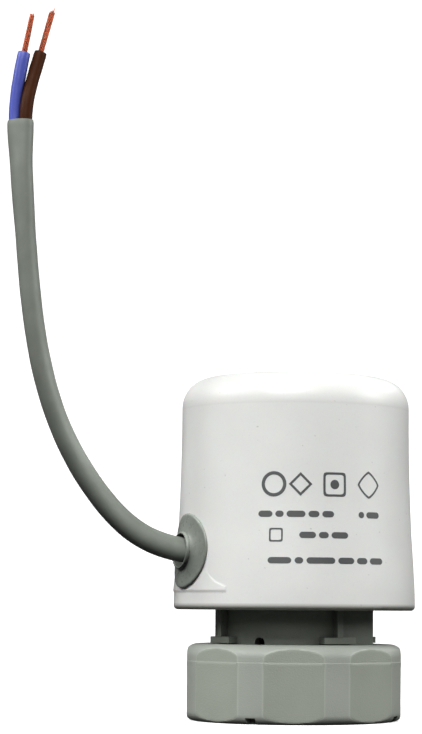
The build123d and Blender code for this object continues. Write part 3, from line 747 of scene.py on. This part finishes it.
CABLE_RUN = [
    in_plane(13.2, 31.35),
    in_plane(23.74, 32.0),
    in_plane(31.03, 34.25),
    in_plane(40.81, 42.89),
    in_plane(47.72, 54.37),
    in_plane(51.97, 68.57),
    in_plane(54.28, 87.65),
    in_plane(55.43, 108.25),
]
cable_path = smooth_path(CABLE_RUN, OUT, UP, CABLE_STEPS)


def twist_at(share):
    """The oval's turn in radians at this share of the cable's length."""
    shares = [pair[0] for pair in TWIST]
    turns = [pair[1] for pair in TWIST]
    for i in range(len(TWIST) - 1):
        if share <= shares[i + 1]:
            local = step_between(shares[i], shares[i + 1], share)
            return math.radians(turns[i] + (turns[i + 1] - turns[i]) * local)
    return math.radians(turns[-1])


def make_sheath():
    """The oval jacket: twisted, faintly waisted between its cores, with a cut end."""

    def section(share, turn):
        angle = TURN * turn
        waist = 1 - 0.05 * abs(math.sin(angle)) ** 3
        across = SHEATH_LONG / 2 * math.cos(angle)
        beside = SHEATH_SHORT / 2 * math.sin(angle) * waist
        wave = 1 + 0.006 * math.sin(38 * share) + 0.004 * math.sin(91 * share + 1)
        end = 1 - 0.035 * (1 - step_between(0.0, 0.004, 1 - share))
        twist = twist_at(share)
        cos_t, sin_t = math.cos(twist), math.sin(twist)
        across, beside = across * wave * end, beside * wave * end
        return across * cos_t - beside * sin_t, across * sin_t + beside * cos_t

    verts, faces = tube(cable_path, UP, section, SHEATH_SIDES)
    sheath = new_piece(
        "cable_jacket", verts, faces, sheath_look, "base", crease=50
    )
    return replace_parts(sheath, "cable_sheath")


def core_run(offset):
    """Points along one core inside the sheath, from its inner end to its outer end."""
    frames = path_frames(cable_path, UP)
    run = []
    last = len(frames) - 1
    for i, (point, tangent, normal) in enumerate(frames):
        twist = twist_at(i / last)
        binormal = tangent.cross(normal)
        run.append(
            point + (normal * math.cos(twist) + binormal * math.sin(twist)) * offset
        )
    return run


def make_core(name, node, offset, crimp, crimp_dir, tip, tip_dir, look):
    """One insulated core, from its crimp to a square-cut stripped end."""
    run = core_run(offset)
    lead = smooth_path([crimp, run[0]], crimp_dir, run[1] - run[0], LEAD_STEPS)
    tail = smooth_path([run[-1], tip], run[-1] - run[-2], tip_dir, TAIL_STEPS)
    path = lead[:-1] + run + tail[1:]

    def section(share, turn):
        angle = TURN * turn
        swell = 1 + 0.012 * math.sin(170 * share) * math.sin(angle * 2)
        square = 1 - 0.06 * (1 - step_between(0.0, 0.003, 1 - share))
        radius = CORE_R * swell * square
        return radius * math.cos(angle), radius * math.sin(angle)

    verts, faces = tube(path, SIDE, section, CORE_SIDES)
    core = new_piece(name, verts, faces, look, "base", crease=50)
    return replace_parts(core, node)


# Bare wires: one in the middle and the rest in two rings, whose radii are in mm
INNER_WIRES = 6
INNER_RING = 0.22
OUTER_RING = 0.42
WIRE_R = 0.1 * MM
WIRE_ROOT = 0.3 * MM
WIRE_STEPS = 16


def strand(path, radius, sides=8):
    """One bare wire along a path."""

    def section(share, turn):
        angle = TURN * turn
        return radius * math.cos(angle), radius * math.sin(angle)

    return tube(path, SIDE, section, sides)


def make_strands(name, node, start, direction, length, splay, twist, count, seed):
    """A bundle of bare wires that leave a core's end, splayed or twisted together."""
    chance = random.Random(seed)
    direction = direction.normalized()
    across = SIDE - direction * SIDE.dot(direction)
    across.normalize()
    beside = direction.cross(across)
    verts, faces = [], []
    for index in range(count):
        if index < INNER_WIRES:
            ring = 0.0 if index == 0 else INNER_RING
            place = TURN * index / (INNER_WIRES - 1)
        else:
            ring = OUTER_RING
            place = TURN * (index - INNER_WIRES) / (count - INNER_WIRES)
        reach = length * chance.uniform(0.86, 1.0)
        bend = chance.uniform(-0.12, 0.12)
        path = []
        for step in range(WIRE_STEPS + 1):
            share = step / WIRE_STEPS
            angle = place + twist * share
            out = (ring + splay * (ring / OUTER_RING) * share**1.4) * MM
            sway = bend * share**2 * MM
            middle = start + direction * (reach * share - WIRE_ROOT * (1 - share))
            path.append(
                middle
                + across * (math.cos(angle) * out + sway)
                + beside * math.sin(angle) * out
            )
        wire_verts, wire_faces = strand(path, WIRE_R)
        first = len(verts)
        verts += wire_verts
        faces += [tuple(first + corner for corner in face) for face in wire_faces]
    bundle = new_piece(name, verts, faces, copper_look, "base", crease=60)
    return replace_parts(bundle, node)


make_sheath()


def cad_end(node, direction):
    """The centre of a CAD node's end face that lies furthest in a direction."""
    direction = Vector(direction).normalized()
    points = [v.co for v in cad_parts[node].data.vertices]
    furthest = max(point.dot(direction) for point in points)
    skin = 0.02 * MM
    near = [point for point in points if point.dot(direction) > furthest - skin]
    return sum(near, Vector()) / len(near)


def turned_out(angle):
    """A level direction this many degrees round from the cable's own."""
    turn = CABLE_ANGLE + math.radians(angle)
    return Vector((math.cos(turn), math.sin(turn), 0))


def leaned_in(angle):
    """Up, leaned back over the hood by this many degrees."""
    lean = math.radians(angle)
    return UP * math.cos(lean) - OUT * math.sin(lean)


BLUE_CRIMP_DIR = turned_out(-117)
BROWN_CRIMP_DIR = turned_out(117)
BLUE_LEAN = leaned_in(12)
BROWN_LEAN = leaned_in(16)
blue_tip = cad_end("blue_core", BLUE_LEAN)
brown_tip = cad_end("brown_core", BROWN_LEAN)
make_core(
    "blue_wire_insulation",
    "blue_core",
    -CORE_OFFSET,
    cad_end("blue_core", BLUE_CRIMP_DIR),
    -BLUE_CRIMP_DIR,
    blue_tip,
    BLUE_LEAN,
    blue_look,
)
make_core(
    "brown_wire_insulation",
    "brown_core",
    CORE_OFFSET,
    cad_end("brown_core", BROWN_CRIMP_DIR),
    -BROWN_CRIMP_DIR,
    brown_tip,
    BROWN_LEAN,
    brown_look,
)
make_strands(
    "blue_bare_wires", "blue_strands", blue_tip, BLUE_LEAN, 7.4 * MM, -0.08, 0.5, 16, 3
)
make_strands(
    "brown_bare_wires", "brown_strands", brown_tip, BROWN_LEAN, 8.7 * MM, 0.02, 4.2, 16, 8
)

# ---- Cable grommet -----------------------------------------------------------------------

GROMMET_Z = 31.35 * MM
GROMMET_BACK = 16.9 * MM
GROMMET_TILT = math.radians(4)
GROMMET_AXIS = (OUT * math.cos(GROMMET_TILT) + UP * math.sin(GROMMET_TILT)).normalized()
GROMMET_UP = GROMMET_AXIS.cross(SIDE) * -1
GROMMET_START = UP * (GROMMET_Z - GROMMET_BACK * math.sin(GROMMET_TILT))
GROMMET_SIDES = 128
# A reach that is clear of the hood all round, where rays on to its wall start
OUTSIDE = 60 * MM
hood_tree = BVHTree.FromObject(
    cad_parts["hood"], bpy.context.evaluated_depsgraph_get()
)


def wall_reach(radius, turn):
    """How far out along the grommet's axis the hood's wall is, at a place round it."""
    off_axis = (GROMMET_UP * math.cos(turn) + SIDE * math.sin(turn)) * radius
    far = GROMMET_START + off_axis + GROMMET_AXIS * OUTSIDE
    hit = hood_tree.ray_cast(far, -GROMMET_AXIS)[0]
    return (hit - GROMMET_START).dot(GROMMET_AXIS)


def make_grommet():
    """The flared bush: a soft lip on the hood's wall, a hollow cone and a rolled end."""
    tip_reach = 24.0 * MM
    tip_r = 3.5 * MM
    base_r = 6.95 * MM
    bore_r = 2.85 * MM
    flange_r, throat_r = 6.2 * MM, 5.2 * MM
    flange_in, flange_out = 17.0 * MM, 18.2 * MM
    tip_neck, lip_step = 0.12 * MM, 0.3 * MM
    flare_steps, tip_steps = 16, 8
    # (radius, share of the way from lip to tip) down the hollow flare
    flare = []
    for i in range(flare_steps + 1):
        share = i / flare_steps
        hollow = (1 - share) ** 1.6
        flare.append((tip_r - tip_neck + (base_r - lip_step - tip_r) * hollow, share))
    verts = []
    for j in range(GROMMET_SIDES):
        turn = TURN * j / GROMMET_SIDES
        wall = wall_reach(base_r + 0.15 * MM, turn)
        lip_top = wall + 0.5 * MM
        ring = [
            (bore_r, flange_in),
            (flange_r, flange_in),
            (flange_r, flange_out),
            (throat_r, flange_out),
            (throat_r, min(wall - 0.05 * MM, 20.9 * MM)),
            (base_r - 0.1 * MM, wall + 0.02 * MM),
            (base_r + 0.04 * MM, wall + 0.1 * MM),
            (base_r + 0.05 * MM, wall + 0.3 * MM),
            (base_r - 0.08 * MM, wall + 0.46 * MM),
        ]
        for radius, share in flare:
            reach = lip_top + (tip_reach - 0.7 * MM - lip_top) * share
            ring.append((radius, reach))
        ring.append((tip_r, tip_reach - 0.6 * MM))
        roll_r, roll_reach = 0.25 * MM, 0.3 * MM
        for k in range(1, tip_steps + 1):
            angle = math.pi * k / tip_steps
            ring.append(
                (
                    tip_r - roll_r + roll_r * math.cos(angle),
                    tip_reach - roll_reach + roll_reach * math.sin(angle),
                )
            )
        ring.append((bore_r, tip_reach - 1.4 * MM))
        for radius, reach in ring:
            verts.append(
                GROMMET_START
                + GROMMET_AXIS * reach
                + (GROMMET_UP * math.cos(turn) + SIDE * math.sin(turn)) * radius
            )
    count = len(verts) // GROMMET_SIDES
    faces = grid_faces(GROMMET_SIDES, count, wrap_rows=True)
    grommet = new_piece(
        "flared_grommet", verts, faces, grommet_look, "base", crease=50
    )
    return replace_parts(grommet, "cable_grommet")


make_grommet()

# ---- Main spring -------------------------------------------------------------------------

# How much of the spring's rise is even; the rest bunches up at its closed ends
EVEN_SHARE = 0.55


def make_spring():
    """The closing spring: round wire with closed ends."""
    low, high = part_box("main_spring")
    wire_r = 0.95 * MM
    coil_r = (high.x - low.x) / 2 - wire_r
    turns, steps_per_turn, wire_sides = 4.5, 56, 20
    steps = int(turns * steps_per_turn)
    rise = high.z - low.z - 2 * wire_r
    path = []
    for i in range(steps + 1):
        share = i / steps
        eased = EVEN_SHARE * share + (1 - EVEN_SHARE) * step_between(0.0, 1.0, share)
        turn = TURN * turns * share
        path.append(
            Vector(
                (
                    coil_r * math.cos(turn),
                    coil_r * math.sin(turn),
                    low.z + wire_r + rise * eased,
                )
            )
        )

    def section(share, turn):
        angle = TURN * turn
        return wire_r * math.cos(angle), wire_r * math.sin(angle)

    verts, faces = tube(path, UP, section, wire_sides)
    spring = new_piece("closing_spring", verts, faces, spring_look, "base")
    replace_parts(spring, "main_spring")
    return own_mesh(spring)


make_spring()

# ---- Printed marks on the hood -----------------------------------------------------------

HOOD_R = 22.0 * MM
MARK_LIFT = 0.03 * MM
MARK_SINK = 0.05 * MM
# Powers for round_outline, and the height and gaps of the bars, in mm
DIAMOND, SOFT_DIAMOND, CIRCLE, FRAME = 1, 1.25, 2, 9
BAR_TALL = 1.15
BAR_GAP = 0.55
BAR_STEP = 0.25
LEAST_BAR = 0.4
mark_verts, mark_faces = [], []


def hood_point(across, height, lift):
    """A point off the hood's front, given the arc length to the right of the middle."""
    turn = -math.pi / 2 + across / HOOD_R
    outward = Vector((math.cos(turn), math.sin(turn), 0))
    far = outward * OUTSIDE + UP * height
    hit = hood_tree.ray_cast(far, -outward)[0]
    return hit + outward * lift


def add_mark(outline):
    """A thin raised patch that follows the hood, from (across, height) points in mm."""
    start = len(mark_verts)
    middle = [sum(axis) / len(outline) for axis in zip(*outline)]
    for lift in (MARK_LIFT, -MARK_SINK):
        for across, height in outline:
            mark_verts.append(hood_point(across * MM, height * MM, lift))
        mark_verts.append(hood_point(middle[0] * MM, middle[1] * MM, lift))
    count = len(outline)
    for j in range(count):
        after = (j + 1) % count
        top, low = start, start + count + 1
        mark_faces.append((top + j, top + after, top + count))
        mark_faces.append((low + after, low + j, low + count))
        mark_faces.append((top + j, low + j, low + after, top + after))


def add_band(inner, outer):
    """A closed band between two outlines with the same number of points."""
    start = len(mark_verts)
    count = len(inner)
    for lift in (MARK_LIFT, -MARK_SINK):
        for outline in (inner, outer):
            for across, height in outline:
                mark_verts.append(hood_point(across * MM, height * MM, lift))
    for j in range(count):
        after = (j + 1) % count
        top_in, top_out = start, start + count
        low_in, low_out = start + 2 * count, start + 3 * count
        for a, b in (
            (top_in, top_out),
            (top_out, low_out),
            (low_out, low_in),
            (low_in, top_in),
        ):
            mark_faces.append((a + j, a + after, b + after, b + j))


def round_outline(across, height, width, tall, power, count=48):
    """A circle at power 2, towards a rounded square at higher powers."""
    outline = []
    for j in range(count):
        turn = TURN * j / count
        cos_t, sin_t = math.cos(turn), math.sin(turn)
        reach = (abs(cos_t) ** power + abs(sin_t) ** power) ** (-1 / power)
        outline.append(
            (across + width / 2 * reach * cos_t, height + tall / 2 * reach * sin_t)
        )
    return outline


def add_ring(across, height, size, stroke, power):
    """A ring, or a rounded frame, of one stroke width."""
    add_band(
        round_outline(across, height, size - 2 * stroke, size - 2 * stroke, power),
        round_outline(across, height, size, size, power),
    )


def add_bar(start, length, height):
    """A bar with rounded ends, laid down in narrow steps so that it follows the curve."""
    steps = max(8, int(length / BAR_STEP))
    lower, upper = [], []
    for i in range(steps + 1):
        turn = math.pi * i / steps
        across = start + length / 2 * (1 - math.cos(turn))
        from_end = min(across - start, start + length - across)
        inset = max(0.0, 1 - from_end / (BAR_TALL / 2))
        half = BAR_TALL / 2 * math.sqrt(max(0.04, 1 - inset * inset))
        lower.append((across, height - half))
        upper.append((across, height + half))
    first = len(mark_verts)
    for lift in (MARK_LIFT, -MARK_SINK):
        for line in (lower, upper):
            for across, place in line:
                mark_verts.append(hood_point(across * MM, place * MM, lift))
    count = steps + 1
    lines = [first, first + count, first + 3 * count, first + 2 * count]
    for a, b in zip(lines, lines[1:] + lines[:1]):
        for i in range(steps):
            mark_faces.append((a + i, a + i + 1, b + i + 1, b + i))
    mark_faces.append(tuple(lines))
    mark_faces.append(tuple(line + steps for line in reversed(lines)))


def add_bar_line(start, end, height, lengths, gap=BAR_GAP):
    """A line of rounded bars between two places, in repeating lengths."""
    across, index = start, 0
    while across < end - LEAST_BAR:
        length = min(lengths[index % len(lengths)], end - across)
        add_bar(across, length, height)
        across += length + gap
        index += 1


# Row of four plain signs: a ring, a diamond, a framed dot and a rounded diamond
add_ring(-3.9, 43.7, 4.6, 0.62, CIRCLE)
add_ring(1.0, 43.7, 4.3, 0.6, DIAMOND)
add_ring(7.4, 43.7, 4.4, 0.42, FRAME)
add_mark(round_outline(7.4, 43.7, 1.7, 1.7, CIRCLE))
add_ring(14.6, 43.8, 5.0, 0.42, SOFT_DIAMOND)
# Plain bars where the lines of small print go, and a small frame
add_bar_line(-6.7, 7.2, 38.3, (2.6, 1.5, 3.4, 2.0))
add_bar_line(12.2, 17.6, 38.3, (1.2, 3.0))
add_ring(-3.4, 34.5, 2.5, 0.3, FRAME)
add_bar_line(0.8, 10.2, 34.5, (3.0, 1.8, 3.2))
add_bar_line(-4.8, 17.4, 29.9, (4.2, 1.5, 5.2, 3.1, 2.2), gap=0.6)
new_piece(
    "printed_marks", mark_verts, mark_faces, mark_look, "base", crease=30
)

# ---- Stage, light and camera -------------------------------------------------------------


def make_stage():
    """A pale floor that curves up into a backdrop."""
    half_width, front, back, curve_r, top = 2.5, -1.6, 0.5, 0.4, 2.4
    curve_steps = 12
    verts, faces = [], []
    profile = [(front, 0.0), (back, 0.0)]
    for i in range(1, curve_steps + 1):
        turn = math.pi / 2 * i / curve_steps
        profile.append(
            (back + curve_r * math.sin(turn), curve_r - curve_r * math.cos(turn))
        )
    profile.append((back + curve_r, top))
    for y, z in profile:
        verts += [(-half_width, y, z), (half_width, y, z)]
    for i in range(len(profile) - 1):
        faces.append((2 * i, 2 * i + 1, 2 * i + 3, 2 * i + 2))
    mesh = bpy.data.meshes.new("studio_floor")
    mesh.from_pydata(verts, [], faces)
    mesh.shade_smooth()
    floor = bpy.data.objects.new("studio_floor", mesh)
    bpy.context.scene.collection.objects.link(floor)
    s = Shader("studio_white")
    # The lens sees a bright, evenly lit sweep; the object gets only a weak bounce from it
    seen = s.node("ShaderNodeLightPath").outputs["Is Camera Ray"]
    paper_size = 40 * MM
    paper = s.noise(paper_size, 3.0)
    weak, bright = (0.04, 0.04, 0.04, 1.0), (0.9, 0.9, 0.9, 1.0)
    s.set(
        Base_Color=s.mix(seen, weak, bright),
        Roughness=s.spread(paper, 0.85, 0.95),
        Specular_IOR_Level=0.05,
        Emission_Color=(1.0, 1.0, 1.0, 1.0),
        Emission_Strength=s.math("MULTIPLY", seen, 0.55),
    )
    mesh.materials.append(s.material)


def soft_light(name, place, aim, width, height, power):
    """A rectangular soft light that faces a point."""
    data = bpy.data.lights.new(name, "AREA")
    data.shape = "RECTANGLE"
    data.size = width
    data.size_y = height
    data.energy = power
    light = bpy.data.objects.new(name, data)
    light.location = place
    light.rotation_mode = "QUATERNION"
    light.rotation_quaternion = (Vector(aim) - Vector(place)).to_track_quat("-Z", "Y")
    light.visible_camera = False
    bpy.context.scene.collection.objects.link(light)


def shift_near(camera, field, amount):
    """Shift the frame while the camera is close in, but not once it is moved far off."""
    curve = camera.data.driver_add(field)
    for modifier in list(curve.modifiers):
        curve.modifiers.remove(modifier)
    curve.driver.type = "AVERAGE"
    away = curve.driver.variables.new()
    away.type = "LOC_DIFF"
    away.targets[0].id = camera
    away.targets[1].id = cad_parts["hood"]
    here, far_off = camera.location.length, 0.2
    for distance, shift in ((here, amount), (here + far_off, 0.0)):
        point = curve.keyframe_points.insert(distance, shift)
        point.interpolation = "LINEAR"


def make_camera():
    """A long lens, level and square on, low on the object; the frame is shifted to it."""
    # span is what the frame's long side takes in at the valve stem
    span = 139.5 * MM
    distance = 428 * MM
    centre_x, centre_z = -15.83 * MM, 67.1 * MM
    camera_z = 21.5 * MM
    data = bpy.data.cameras.new("camera")
    data.sensor_width = 36
    data.lens = data.sensor_width * distance / span
    camera = bpy.data.objects.new("camera", data)
    camera.location = (0, -distance, camera_z)
    roll = math.radians(-0.4)
    camera.rotation_euler = (math.pi / 2, roll, 0)
    shift_near(camera, "shift_x", centre_x / span)
    shift_near(camera, "shift_y", (centre_z - camera_z) / span)
    bpy.context.scene.collection.objects.link(camera)
    bpy.context.scene.camera = camera


WORLD_LIGHT = 0.03


def make_world():
    """A white surround to the lens that gives the object hardly any light."""
    world = bpy.data.worlds.new("studio_world")
    world.use_nodes = True
    tree = world.node_tree
    seen = tree.nodes.new("ShaderNodeLightPath").outputs["Is Camera Ray"]
    strength = tree.nodes.new("ShaderNodeMath")
    strength.operation = "MAXIMUM"
    strength.inputs[1].default_value = WORLD_LIGHT
    tree.links.new(seen, strength.inputs[0])
    background = tree.nodes["Background"]
    background.inputs["Color"].default_value = (1.0, 1.0, 1.0, 1.0)
    tree.links.new(strength.outputs[0], background.inputs["Strength"])
    bpy.context.scene.world = world


make_stage()
target = (0, 0, 40 * MM)
soft_light("key_front", (-0.12, -0.7, 0.68), target, 0.6, 0.3, 8.0)
soft_light("front_fill", (-0.15, -0.85, 0.36), target, 0.5, 0.2, 1.1)
soft_light("top_soft", (0.0, -0.1, 0.85), target, 0.5, 0.4, 0.4)
soft_light("left_fill", (-0.68, -0.12, 0.56), target, 0.4, 0.4, 4.6)
soft_light("right_fill", (0.75, -0.04, 0.42), target, 0.4, 0.4, 3.9)
soft_light("back_fill", (0.45, 0.42, 0.6), target, 0.4, 0.4, 2.4)
make_camera()
make_world()
bpy.context.scene.view_settings.view_transform = "Standard"
